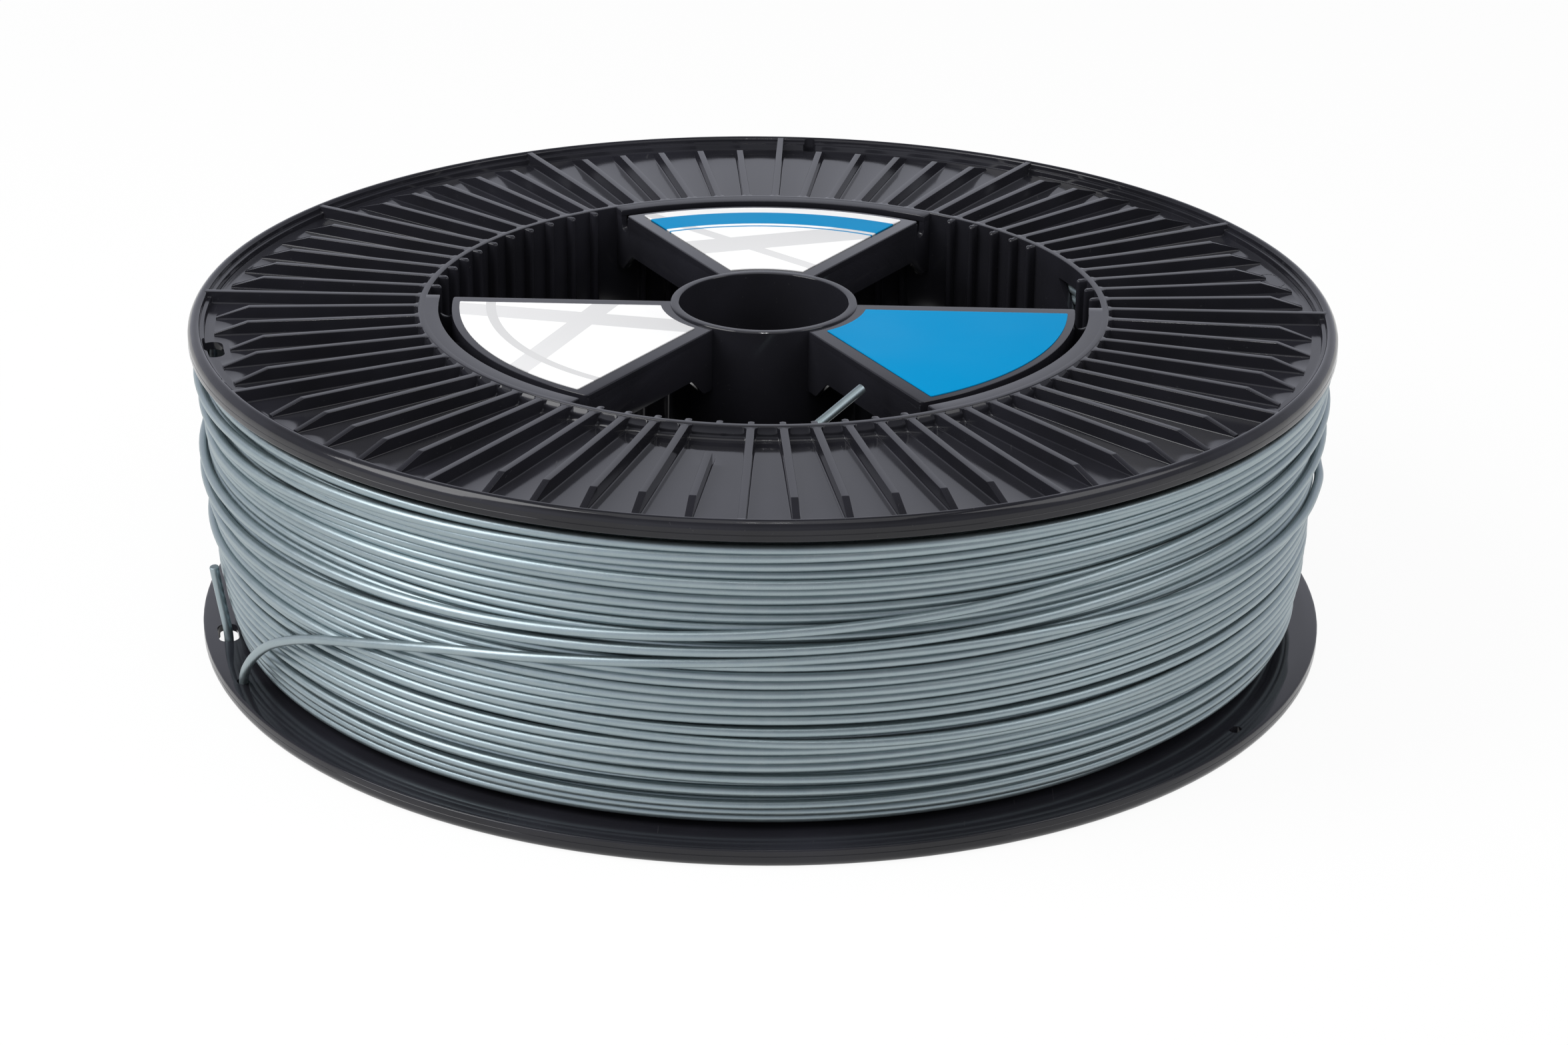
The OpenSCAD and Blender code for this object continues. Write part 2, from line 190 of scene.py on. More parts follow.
def label_material(name, angle, kind):
    """Printed label: smooth film with a plain design of bands, set out from the bore's axis."""
    mat, n = material(name)
    place = n("TexCoord").outputs["Object"]
    turned = n("VectorRotate", place, rotation_type="Z_AXIS")
    n.put(turned.inputs["Angle"], -math.radians(angle))
    parts = n("SeparateXYZ", turned)
    x, y = parts.outputs[0], parts.outputs[1]
    radius = n.math("SQRT", n.add(n.times(x, x), n.times(y, y)))
    blue, pale = (0.0, 0.26, 0.55, 1), (0.70, 0.70, 0.71, 1)
    white = (0.93, 0.93, 0.935, 1)

    def band(value, low, high):
        return n.times(n.math("GREATER_THAN", value, low), n.math("LESS_THAN", value, high))

    if kind == "blue":
        tint = n.mix(n.noise(place, 30.0), blue, (0.0, 0.27, 0.57, 1))
    elif kind == "band":
        tint = n.mix(band(n.add(x, n.times(y, 0.35)), 0.052, 0.066), white, pale)
        tint = n.mix(band(n.math("SUBTRACT", x, n.times(y, 0.9)), 0.044, 0.05), tint, pale)
        tint = n.mix(band(radius, 0.0765, 0.088), tint, blue)
        tint = n.mix(band(radius, 0.0735, 0.0745), tint, blue)
    else:
        tint = n.mix(band(n.add(x, n.times(y, 1.2)), 0.034, 0.05), white, pale)
        tint = n.mix(band(n.math("SUBTRACT", x, n.times(y, 1.2)), 0.062, 0.074), tint, pale)
        tint = n.mix(band(radius, 0.082, 0.085), tint, (0.62, 0.62, 0.63, 1))
    height = n.add(n.noise(place, 25.0, 2.0), n.times(n.noise(place, 900.0), 0.05))
    n.finish(Base_Color=tint, Roughness=n.ramp(n.noise(place, 40.0), 0.3, 0.7, 0.42, 0.5),
             Normal=n.bump(height, 0.15, 0.0002), Specular_IOR_Level=0.04)
    return mat


black = plastic_material("spool_black")
silver = filament_material("filament_silver")


# ---------------------------------------------------------------- mesh helpers
def build(name, parts, mat, nodes, sharp=32.0, uv=None):
    """One mesh object from parts of (points in mm, faces), which sits at the origin."""
    points, sizes, corners, base = [], [], [], 0
    for pts, faces in parts:
        pts = np.asarray(pts, float).reshape(-1, 3)
        points.append(pts)
        for face in faces:
            face = np.asarray(face, np.int32)
            face = face.reshape(1, -1) if face.ndim == 1 else face
            sizes.append(np.full(len(face), face.shape[1], np.int32))
            corners.append(face.ravel() + base)
        base += len(pts)
    points = np.concatenate(points) * MM
    sizes, corners = np.concatenate(sizes), np.concatenate(corners)
    mesh = bpy.data.meshes.new(name)
    mesh.vertices.add(len(points))
    mesh.vertices.foreach_set("co", points.astype(np.float32).ravel())
    mesh.loops.add(len(corners))
    mesh.loops.foreach_set("vertex_index", corners.astype(np.int32))
    mesh.polygons.add(len(sizes))
    mesh.polygons.foreach_set("loop_start", np.concatenate([[0], np.cumsum(sizes)[:-1]]).astype(np.int32))
    if uv is not None:
        layer = mesh.uv_layers.new(name="along")
        layer.data.foreach_set("uv", np.asarray(uv, np.float32)[corners].ravel())
    mesh.update(calc_edges=True)
    mesh.validate()
    return dress(name, mesh, mat, nodes, sharp)


def dress(name, mesh, mat, nodes, sharp=32.0):
    """Makes an object of a mesh that rides on the root body. Edges above the sharp angle stay sharp."""
    mesh.materials.clear()
    mesh.materials.append(mat)
    mesh.polygons.foreach_set("use_smooth", [True] * len(mesh.polygons))
    mesh.set_sharp_from_angle(angle=math.radians(sharp))
    obj = bpy.data.objects.new(name, mesh)
    bpy.context.scene.collection.objects.link(obj)
    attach(obj, "root")
    if nodes:
        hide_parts(*nodes)
    return obj


def moulding(name, parts, nodes):
    """A piece of the black spool."""
    return build(name, parts, black, nodes)


def mirrored(name, source, nodes):
    """The lower half's copy of an upper piece: heights are mirrored and the faces turned."""
    mesh = source.data.copy()
    mesh.name = name
    co = np.empty(len(mesh.vertices) * 3, np.float32)
    mesh.vertices.foreach_get("co", co)
    co = co.reshape(-1, 3)
    co[:, 2] = WIDTH * MM - co[:, 2]
    mesh.vertices.foreach_set("co", co.ravel())
    mesh.flip_normals()
    mesh.update()
    return dress(name, mesh, black, nodes)


def lower_half(name, parts, nodes):
    """A piece of the lower half, from the parts of its mirror image."""
    upright = moulding(name + "_upright", parts, ())
    mirrored(name, upright, nodes)
    bpy.data.objects.remove(upright)


def grid(points, wrap_i=False, wrap_j=False, flip=False):
    """Quads over an (i, j) array of points."""
    points = np.asarray(points, float)
    ni, nj = points.shape[:2]
    i = np.arange(ni if wrap_i else ni - 1)
    j = np.arange(nj if wrap_j else nj - 1)
    a, b = np.meshgrid(i, j, indexing="ij")
    a2, b2 = (a + 1) % ni, (b + 1) % nj
    quads = np.stack([a * nj + b, a2 * nj + b, a2 * nj + b2, a * nj + b2], -1).reshape(-1, 4)
    return points.reshape(-1, 3), [quads[:, ::-1] if flip else quads]


def around(r, a, z):
    """A point from its radius, angle in degrees and height."""
    a = np.radians(a)
    return np.stack(np.broadcast_arrays(r * np.cos(a), r * np.sin(a), z), -1)


def rounded(corners, reach, steps=3):
    """A closed outline whose corner k is rounded over reach[k]."""
    corners = np.asarray(corners, float)
    out, count = [], len(corners)
    reach = [reach] * count if np.isscalar(reach) else reach
    for k in range(count):
        p, before, after = corners[k], corners[k - 1], corners[(k + 1) % count]
        if reach[k] <= 0:
            out.append(p)
            continue
        u, v = before - p, after - p
        u, v = u / np.linalg.norm(u), v / np.linalg.norm(v)
        start, end = p + u * reach[k], p + v * reach[k]
        for s in np.linspace(0, 1, steps + 1):
            out.append((1 - s) ** 2 * start + 2 * s * (1 - s) * p + s * s * end)
    return np.array(out)


def lathe(outline, stations):
    """A closed outline of (radius, height), anticlockwise, turned round the bore."""
    outline = np.asarray(outline, float)
    a = np.arange(stations) * 360.0 / stations
    pts = around(outline[:, None, 0], a[None, :], outline[:, None, 1] + 0 * a[None, :])
    return grid(pts, True, True)


def prism(outline, low, high, edge, place, steps=2):
    """A flat plate with rounded edges. The outline is anticlockwise; place maps (u, v, w) to x, y, z."""
    outline = np.asarray(outline, float)
    ahead, behind = np.roll(outline, -1, 0) - outline, outline - np.roll(outline, 1, 0)
    unit = lambda v: v / np.maximum(np.linalg.norm(v, axis=1, keepdims=True), 1e-9)
    tangent = unit(unit(ahead) + unit(behind))
    inward = np.stack([-tangent[:, 1], tangent[:, 0]], 1)
    levels = []
    for s in np.linspace(0, math.pi / 2, steps + 1):
        levels.append((low + edge * (1 - math.cos(s)), edge * (1 - math.sin(s))))
    levels += [(low + high - w, inset) for w, inset in reversed(levels)]
    rows = np.array([[(*(p + inset * q), w) for p, q in zip(outline, inward)] for w, inset in levels])
    pts, faces = grid(rows, False, True, flip=True)
    count = len(outline)
    top = np.arange(count) + count * (len(levels) - 1)
    return place(pts), faces + [np.arange(count)[::-1], top]


def radial(angle, shift=0.0):
    """Places a plate's (radius, height, across) in the upright plane at an angle."""
    c, s = math.cos(math.radians(angle)), math.sin(math.radians(angle))

    def place(pts):
        r, z, w = pts[:, 0], pts[:, 1], -pts[:, 2] + shift
        return np.stack([r * c - w * s, r * s + w * c, z], -1)
    return place


def sector(section, middle, half, edge, side=0.0, corner=0.0, tops=()):
    """An outline of (radius, height) turned over a sector, with rounded straight edges.

    side is how far the straight edges lie inside the radial lines, and corner rounds its outer
    corners in plan. tops are the outline's points that the edge rounding lowers."""
    section = np.asarray(section, float)
    offsets, drops = [], []
    for s in np.linspace(0, 1, 4):
        offsets.append(side + edge * (1 - math.cos(s * math.pi / 2)))
        drops.append(edge * (1 - math.sin(s * math.pi / 2)))
    more = np.geomspace(0.25, 1.0, 4) * corner if corner else []
    offsets += [side + m for m in more if m > edge]
    drops += [0.0] * (len(offsets) - len(drops))
    r_far = section[:, 0].max()
    rows = []
    low = np.array([k in tops for k in range(len(section))])
    for offset, drop in zip(offsets, drops):
        r = section[:, 0].copy()
        if corner:
            short = corner - (offset - side)
            cut = corner - math.sqrt(max(0.0, corner ** 2 - short ** 2)) if short > 0 else 0.0
            r = np.where(section[:, 0] > r_far - corner, r - cut, r)
        rows.append((r, half - np.degrees(np.arcsin(offset / r)), section[:, 1] - drop * low))
    r = section[:, 0]
    last = half - np.degrees(np.arcsin(offsets[-1] / r))
    inner = [(r, last * f, section[:, 1]) for f in np.linspace(1, -1, 33)[1:-1]]
    every = rows + inner + [(r, -a, z) for r, a, z in reversed(rows)]
    pts = np.array([around(r, middle + a, z) for r, a, z in every])
    body = grid(pts, False, True)
    count = len(section)
    body[1].extend([np.arange(count), np.arange(count)[::-1] + count * (len(every) - 1)])
    return body


def smooth_path(points, step):
    """Catmull-Rom through the points, then resampled evenly."""
    p = np.asarray(points, float)
    p = np.concatenate([[2 * p[0] - p[1]], p, [2 * p[-1] - p[-2]]])
    out = []
    for k in range(1, len(p) - 2):
        t = np.linspace(0, 1, 24, endpoint=False)[:, None]
        a, b, c, d = p[k - 1], p[k], p[k + 1], p[k + 2]
        out.append(0.5 * (2 * b + (c - a) * t + (2 * a - 5 * b + 4 * c - d) * t ** 2
                          + (3 * b - a - 3 * c + d) * t ** 3))
    fine = np.concatenate(out + [p[-2:-1]])
    return resample(fine, step)


def resample(path, step):
    run = np.concatenate([[0], np.cumsum(np.linalg.norm(np.diff(path, axis=0), axis=1))])
    marks = np.linspace(0, run[-1], max(2, int(round(run[-1] / step)) + 1))
    return np.stack([np.interp(marks, run, path[:, k]) for k in range(3)], 1)


def tube(path, radius, sides, ahead, blunt):
    """A tube along a path, with cut ends whose edge is broken over blunt. Gives points, faces and UV.

    ahead is the direction that each ring's first point faces away from."""
    path = np.asarray(path, float)
    t = np.gradient(path, axis=0)
    t /= np.linalg.norm(t, axis=1, keepdims=True)
    v = ahead - t * np.sum(ahead * t, axis=1, keepdims=True)
    v /= np.linalg.norm(v, axis=1, keepdims=True)
    w = np.cross(t, v)
    a = math.pi + np.arange(sides)[:, None] * 2 * math.pi / sides
    rings = radius * (np.cos(a) * v[:, None] + np.sin(a) * w[:, None])
    ends = []
    for k, sign in ((0, -1), (-1, 1)):
        ends.append([path[k] + rings[k] * (1 - blunt * (1 - math.cos(s)) / radius)
                     + t[k] * sign * blunt * math.sin(s) for s in (0.5, 1.0, math.pi / 2)])
    rows = np.array(ends[0][::-1] + list(path[:, None] + rings) + ends[1])
    body, faces = grid(rows, False, True, flip=True)
    faces += [np.arange(sides), np.arange(sides)[::-1] + (len(rows) - 1) * sides]
    run = np.concatenate([[0], np.cumsum(np.linalg.norm(np.diff(rows.mean(1), axis=0), axis=1))])
    to_and_fro = np.abs((run * MM) % 1.0 - 0.5)
    return body, faces, np.stack([np.repeat(to_and_fro, sides), np.zeros(len(body))], 1)


# ---------------------------------------------------------------- flange
RIB_STEP, CELLS = 5, 72
EDGE, FOOT, CUP_R, CUP = 0.17, 0.5, 106.3, 0.9


def rib_width(r):
    return np.interp(r, [DRUM_OUT, RIM], [2.35, 2.05])


def flange_profile():
    """The flange's closed outline as radius, height and whether a rib may stand there."""
    out = [(DRUM_OUT - 0.1, WEB_LOW, 0), (DRUM_OUT - 0.1, RIB_TOP, 1), (DRUM_OUT + 0.1, RIB_TOP - 0.04, 1),
           (DRUM_OUT + 0.25, RIB_TOP - 0.2, 1), (DRUM_OUT + 0.85, WEB_TOP + 2.35, 1),
           (DRUM_OUT + 1.0, WEB_TOP + 2.0, 1)]
    for s in np.linspace(0, 1, 6):
        a = s * math.pi / 2
        out.append((DRUM_OUT + 1.05 + 1.5 * (1 - math.cos(a)), WEB_TOP + 1.5 * (1 - math.sin(a)), 1))
    knees = [125.4, 125.7, 125.95, 126.1, 126.5, 152.7, 153.0, 153.3, 156.7, 157.0, 157.3,
             162.9, 163.05, 163.1, 163.3, 166.9, 167.05, 167.1, 167.3]
    plain = [109.5, 112, 118, 132, 140, 147, 160, 165.5, 168.6]
    out += [(r, WEB_TOP, 1) for r in sorted(knees + plain)]
    out += [(LEDGE_IN + r, z, 1) for r, z in (
        (-0.5, WEB_TOP), (-0.15, WEB_TOP + 0.12), (0, WEB_TOP + 0.45),
        (0, LEDGE_TOP - 0.4), (0.12, LEDGE_TOP - 0.12), (0.4, LEDGE_TOP))]
    out += [(BEAD_IN + r, LEDGE_TOP + z, 1) for r, z in ((-0.25, 0), (-0.07, 0.08), (0, 0.25))]
    out += [(r, z, 1) for r, z in ((171.4, 102.1), (171.46, 102.35), (171.6, 102.55), (171.85, 102.72))]
    out += [(r, z, 0) for r, z in (
        (172.2, 102.9), (172.5, 103.0), (172.9, 102.99), (173.3, 102.88), (173.7, 102.65),
        (174.1, 102.3), (174.45, 101.85), (174.72, 101.35), (174.9, 100.9), (174.97, 100.5), (175, 100.1),
        (175, 99.38), (174.93, 99.3), (174.93, 99.22), (175, 99.14), (175, 97.75), (174.94, 97.52),
        (174.78, 97.36), (174.5, 97.26), (174.0, 97.18), (172.0, 96.9), (171.0, 96.8), (170.0, 96.74),
        (165.0, 96.65), (158.0, 96.6), (148.0, WEB_LOW), (140.0, WEB_LOW), (120.0, WEB_LOW))]
    return np.array(out)


def rib_height(r, angle):
    """Height of the rib's top at each radius."""
    top = np.full(len(r), RIB_TOP)
    if angle % 30:
        cut = 4.0 if angle % 180 == 15 else 0.0
        knee, tip = 157.0 - cut, 167.05 - cut
        top = np.interp(r, [0, knee, tip, tip + 0.01, 400],
                        [RIB_TOP, RIB_TOP, WEB_TOP + 0.6, WEB_TOP, WEB_TOP])
    if angle == 265:
        top = np.where(r < 125.6, WEB_TOP, np.where(r < 125.8, RIB_TOP - 0.5, top))
    return top


def flange_points():
    profile = flange_profile()
    r, floor, ribbed = profile.T
    inside = CUP - np.clip(r - CUP_R, 0, CUP)
    half = rib_width(r) / 2 + CUP - np.sqrt(CUP ** 2 - inside ** 2)
    near = np.clip((CUP_R + 2.5 - r) / 2.5, 0, 1)
    foot = FOOT + 0.4 * near ** 2
    diag = 1 - math.sqrt(0.5)
    columns = []
    for cell in range(CELLS):
        angle = cell * RIB_STEP
        rise = np.where(ribbed > 0, np.maximum(rib_height(r, angle) - floor, 0), 0)
        e, f = np.minimum(EDGE, rise * 0.45), np.minimum(foot, rise * 0.45)
        top = floor + rise
        cols = [(0 * r, top), (half - EDGE, top), (half - EDGE * 0.45, top - e * 0.12),
                (half - EDGE * 0.12, top - e * 0.45), (half, top - e), (half, floor + f),
                (half + foot * 0.1, floor + f * 0.55), (half + foot * diag, floor + f * diag),
                (half + foot * 0.55, floor + f * 0.1), (half + foot, floor)]
        both = [(-x, z) for x, z in reversed(cols[1:])] + cols
        for x, z in both:
            columns.append((angle + np.degrees(np.arcsin(x / r)), z))
        columns.append((angle + RIB_STEP / 2 + 0 * r, floor))
    angles = np.stack([c[0] for c in columns], 1)
    heights = np.stack([c[1] for c in columns], 1)
    return around(r[:, None], angles, heights)


def round_slot(r, a, length, width, low, high):
    """A cutter with round ends that lies round the bore."""
    run = (length - width) / 2
    rim = [(width / 2 * math.cos(t), (run if math.sin(t) >= 0 else -run) + width / 2 * math.sin(t))
           for t in np.linspace(0, 2 * math.pi, 40, endpoint=False) + 1e-4]
    c, s = math.cos(math.radians(a)), math.sin(math.radians(a))

    def place(pts):
        x, y = pts[:, 0] + r, pts[:, 1]
        return np.stack([x * c - y * s, x * s + y * c, pts[:, 2]], -1)
    return prism(rim, low, high, 0.0, place, steps=1)


def cutter(name, part):
    return moulding(name, [part], ())


def carve(obj, cutters):
    """Cuts the cutters out of an object for good, and removes them."""
    for tool in cutters:
        mod = obj.modifiers.new("cut", "BOOLEAN")
        mod.operation, mod.object, mod.solver = "DIFFERENCE", tool, "MANIFOLD"
    bpy.context.view_layer.update()
    shape = bpy.data.meshes.new_from_object(obj.evaluated_get(bpy.context.evaluated_depsgraph_get()))
    obj.modifiers.clear()
    old, obj.data = obj.data, shape
    bpy.data.meshes.remove(old)
    for tool in cutters:
        mesh = tool.data
        bpy.data.objects.remove(tool)
        bpy.data.meshes.remove(mesh)
    shape.polygons.foreach_set("use_smooth", [True] * len(shape.polygons))
    shape.set_sharp_from_angle(angle=math.radians(32))


def join(obj, parts):
    """Adds loose closed parts to an object's mesh."""
    extra = moulding("extra", parts, ())
    with bpy.context.temp_override(active_object=obj, selected_editable_objects=[obj, extra],
                                   object=obj, selected_objects=[obj, extra]):
        bpy.ops.object.join()


def outline_bead(r, a, length, width, thick):
    """A thin raised line round the place of a slot that wasn't cut, half sunk into the web."""
    run, half = (length - width) / 2, width / 2
    turn = np.linspace(0, 2 * math.pi, 48, endpoint=False) + 1e-4
    lean = np.linspace(0, 2 * math.pi, 6, endpoint=False)
    wide = half + thick * np.cos(lean)[None, :]
    x = wide * np.cos(turn)[:, None] + r
    y = wide * np.sin(turn)[:, None] + np.where(np.sin(turn) >= 0, run, -run)[:, None]
    c, s = math.cos(math.radians(a)), math.sin(math.radians(a))
    z = WEB_TOP + 0 * x + 0.6 * thick * np.sin(lean)[None, :]
    return grid(np.stack([x * c - y * s, x * s + y * c, z], -1), True, True)


TIE_SLOT = (167.9, 194.5, 13.4, 6.2)        # radius, angle, length and width
BLANK_SLOT = (164.6, 14.2, 12.0, 5.4)
LINE = 0.16                                 # height and half width of the blank slot's outline
HOLE_R, HOLE_A = 170.4, 206.6
HOLES = ((4.4, 3.3), (4.4, 2.8), (4.4, 2.8))  # length and width; the strand goes through the first
THROUGH = (90, 110)                         # heights of a cutter that goes through the web

upper_flange = moulding("spool_upper_flange", [grid(flange_points(), True, True)], ["upper_flange"])
cuts = [cutter("cut_slot", round_slot(*TIE_SLOT, *THROUGH))]
cuts += [cutter(f"cut_hole_{k}", round_slot(HOLE_R, HOLE_A + 120 * k, *size, *THROUGH))
         for k, size in enumerate(HOLES)]
carve(upper_flange, cuts)
join(upper_flange, [outline_bead(*BLANK_SLOT, LINE)])
mirrored("spool_lower_flange", upper_flange, ["lower_flange"])


# ---------------------------------------------------------------- drum
def nub(angle, low, high, crown):
    """A rib inside the drum: its nose is round in plan, and crown rounds its inner top edge."""
    half = 1.05
    rim = [(DRUM_IN + 0.4, -half)]
    rim += [(NUB_IN + half - half * math.cos(t), half * math.sin(t)) for t in
            np.linspace(-math.pi / 2, math.pi / 2, 9)]
    rim += [(DRUM_IN + 0.4, half)]
    rim = np.array(rim)
    place = radial(angle)
    rows = []
    levels = [(low, 0.0, 0.0)]
    for s in np.linspace(0, 1, 5):
        up, over = 1 - math.sin(s * math.pi / 2), 1 - math.cos(s * math.pi / 2)
        levels.append((high - crown * up, crown * over, 0.2 * over))
    for z, inset, narrow in levels:
        r = np.maximum(rim[:, 0], NUB_IN + inset + (rim[:, 0] - NUB_IN) * 0.6)
        r = np.minimum(r, DRUM_IN + 0.4)
        y = np.sign(rim[:, 1]) * np.maximum(np.abs(rim[:, 1]) - narrow, 0)
        rows.append(np.stack([r, np.full(len(r), z), y], -1))
    pts, faces = grid(np.array(rows), False, True)
    count = len(rim)
    faces = faces + [np.arange(count), np.arange(count)[::-1] + count * (len(rows) - 1)]
    return place(pts), faces


def in_plate(angle):
    """Whether a label plate stands at this angle."""
    return angle % 120 >= 60 or angle % 120 == 0


def drum_half():
    """The drum's wall, a tube of its own that is cut by its slots."""
    outline = rounded([(DRUM_IN, MID), (DRUM_OUT, MID), (DRUM_OUT, WIDTH), (DRUM_IN, WIDTH)],
                      [0.15, 0.15, 0.3, 0.35])
    return lathe(outline, 360)


def nubs(slots):
    """The ribs inside the drum. With slots, two of them end above and below the strand's slot."""
    parts = []
    for angle in range(0, 360, 5):
        if angle % 60 == 0 or 20 <= angle <= 30:
            continue
        top = RING_LOW if in_plate(angle) else RIB_TOP
        if slots and angle in (260, 265):
            parts.append(nub(angle, 86.5, top, 0.95))
            parts.append(nub(angle, MID + 0.5, 75.5, 0.05))
        else:
            parts.append(nub(angle, MID + 0.5, top, 0.95))
    return parts


def slanted_cut(angle, top):
    """A cutter for a slot in the drum's wall with one slanted end."""
    width, height = 18.0, 11.0
    rim = [(0, 0), (-width, 0), (-width, -height), (-height, -height)]
    c, s = math.cos(math.radians(angle)), math.sin(math.radians(angle))

    def place(pts):
        y, z, x = pts[:, 0], pts[:, 1] + top, pts[:, 2]
        return np.stack([x * c - y * s, x * s + y * c, z], -1)
    return prism(rounded(rim, 0.5), 98.0, 110.0, 0.0, place, steps=1)


upper_drum = moulding("spool_upper_drum", [drum_half()], ["upper_drum"])
carve(upper_drum, [cutter("cut_spare", slanted_cut(26.8, WIDTH - 6.5)),
                   cutter("cut_start", slanted_cut(269.0, WIDTH - 16.5))])
join(upper_drum, nubs(True))
lower_half("spool_lower_drum", [drum_half()] + nubs(False), ["lower_drum"])

# ---------------------------------------------------------------- hub
LAP, LAP_R = 3.0, HUB_IN + 1.35


def hub_half(lap, joint_r):
    """The hub's tube, stepped at mid-width: inside joint_r it starts lap higher, and outside lap lower."""
    return lathe(rounded(
        [(HUB_IN, MID + lap), (joint_r, MID + lap), (joint_r, MID - lap), (HUB_OUT, MID - lap),
         (HUB_OUT, WIDTH), (HUB_IN, WIDTH)], [0.2, 0, 0, 0.3, 0.6, 0.45]), 192)


moulding("spool_upper_hub", [hub_half(LAP, LAP_R)], ["upper_hub"])
lower_half("spool_lower_hub", [hub_half(-LAP, LAP_R - 0.1)], ["lower_hub"])


# ---------------------------------------------------------------- label plates
def wall_outline():
    """One side wall as radius and height: a foot at the hub and at the drum, and a round-bottomed notch."""
    low, foot, rise = WALL_LOW, 5.5, 6.0
    notch_r, notch_mid = 2.0, (PLATE_R + RING_IN) / 2
    notch = [(notch_mid + notch_r * math.cos(t), 98.4 + notch_r * math.sin(t))
             for t in np.linspace(0, -math.pi, 9)]
    pts = [(HUB_OUT - 0.4, PLATE_TOP - 1.0), (HUB_OUT - 0.4, low - rise)]
    pts += [(HUB_OUT + foot - 0.9, low - rise), (HUB_OUT + foot - 0.3, low - rise + 0.25),
            (HUB_OUT + foot + rise, low)]
    pts += [(DRUM_IN - foot - rise, low), (DRUM_IN - foot + 0.3, low - rise + 0.25),
            (DRUM_IN - foot + 0.9, low - rise), (DRUM_IN + 0.4, low - rise), (DRUM_IN + 0.4, WIDTH - 1.0),
            (RING_IN + 0.1, WIDTH - 1.0)]
    pts += notch + [(PLATE_R - 0.2, PLATE_TOP - 1.0)]
    return pts


def plate_parts(middle):
    """A label plate: tray, the ring round its end, two side walls, and three bars to the drum."""
    parts = []
    tray = rounded([(HUB_OUT - 0.3, PLATE_TOP - PLATE_T), (PLATE_R - WALL_T, PLATE_TOP - PLATE_T),
                    (PLATE_R - WALL_T, WALL_LOW + 0.5), (PLATE_R, WALL_LOW + 0.5), (PLATE_R, PLATE_TOP),
                    (HUB_OUT - 0.3, PLATE_TOP)], [0, 0.4, 0.3, 0.3, 0.35, 0])
    tops = [k for k, p in enumerate(tray) if p[1] > PLATE_TOP - 0.4]
    parts.append(sector(tray, middle, 30, 0.35, corner=1.2, tops=tops))
    band = rounded([(RING_IN, RING_LOW), (DRUM_IN + 0.3, RING_LOW), (DRUM_IN + 0.3, WIDTH - 0.02),
                    (RING_IN, WIDTH - 0.02)], [0.2, 0, 0, 0.35])
    tops = [k for k, p in enumerate(band) if p[1] > WIDTH - 0.5]
    parts.append(sector(band, middle, 30, 0.35, tops=tops))
    for side in (-1, 1):
        parts.append(prism(wall_outline(), -WALL_T / 2, WALL_T / 2, 0.3,
                           radial(middle + side * 30, -side * (WALL_T / 2 + 0.03))))
    for b in (-15, 0, 15):
        bar = rounded([(PLATE_R - 0.5, 90.0), (NUB_IN + 1.5, 90.0),
                       (NUB_IN + 1.5, 96.4), (PLATE_R - 0.5, 96.4)], 0.1)
        parts.append(prism(bar, -1.0, 1.0, 0.7, radial(middle + b)))
    return parts


plates = {"back": 90, "left": 210, "right": 330}
for side, middle in plates.items():
    piece = moulding(f"spool_upper_plate_{side}", plate_parts(middle), [f"upper_plate_{side}"])
    mirrored(f"spool_lower_plate_{side}", piece, [f"lower_plate_{side}"])

for side, kind in (("back", "band"), ("left", "pale"), ("right", "blue")):
    outline = rounded([(HUB_OUT + 3.0, PLATE_TOP - 0.02), (PLATE_R - 2.4, PLATE_TOP - 0.02),
                       (PLATE_R - 2.4, PLATE_TOP + 0.3), (HUB_OUT + 3.0, PLATE_TOP + 0.3)],
                      [0, 0, 0.08, 0.08], 2)
    tops = [k for k, p in enumerate(outline) if p[1] > PLATE_TOP + 0.15]
    build(f"label_print_{side}", [sector(outline, plates[side], 30, 0.08, side=5.0, corner=0.6, tops=tops)],
          label_material(f"label_{side}_print", plates[side], kind),
          [f"label_{side}"])


# ---------------------------------------------------------------- the winding
TOP_Z, LOW_Z = 93.25, 9.8        # middle of the highest and lowest strand
TURNS = 29                       # in each full layer


def envelope(z, a=195.0):
    """Middle radius of the full layer under the outer one: the winding is smaller at the lower flange,
    and under the upper one at its left."""
    full = np.interp(z, [8, 12, 20, 28, 36, 43, 50, 60, 76, 84, 89, 94],
                     [160.3, 161.4, 163.4, 165.0, 165.5, 165.8, 166.4, 166.8, 167.0, 167.7, 168.8, 170.3])
    aside = (np.mod(a, 360.0) - 192.0) / 24.0
    return full - 1.5 * np.exp(-aside ** 2) * np.clip((z - 82.0) / 5.0, 0, 1)


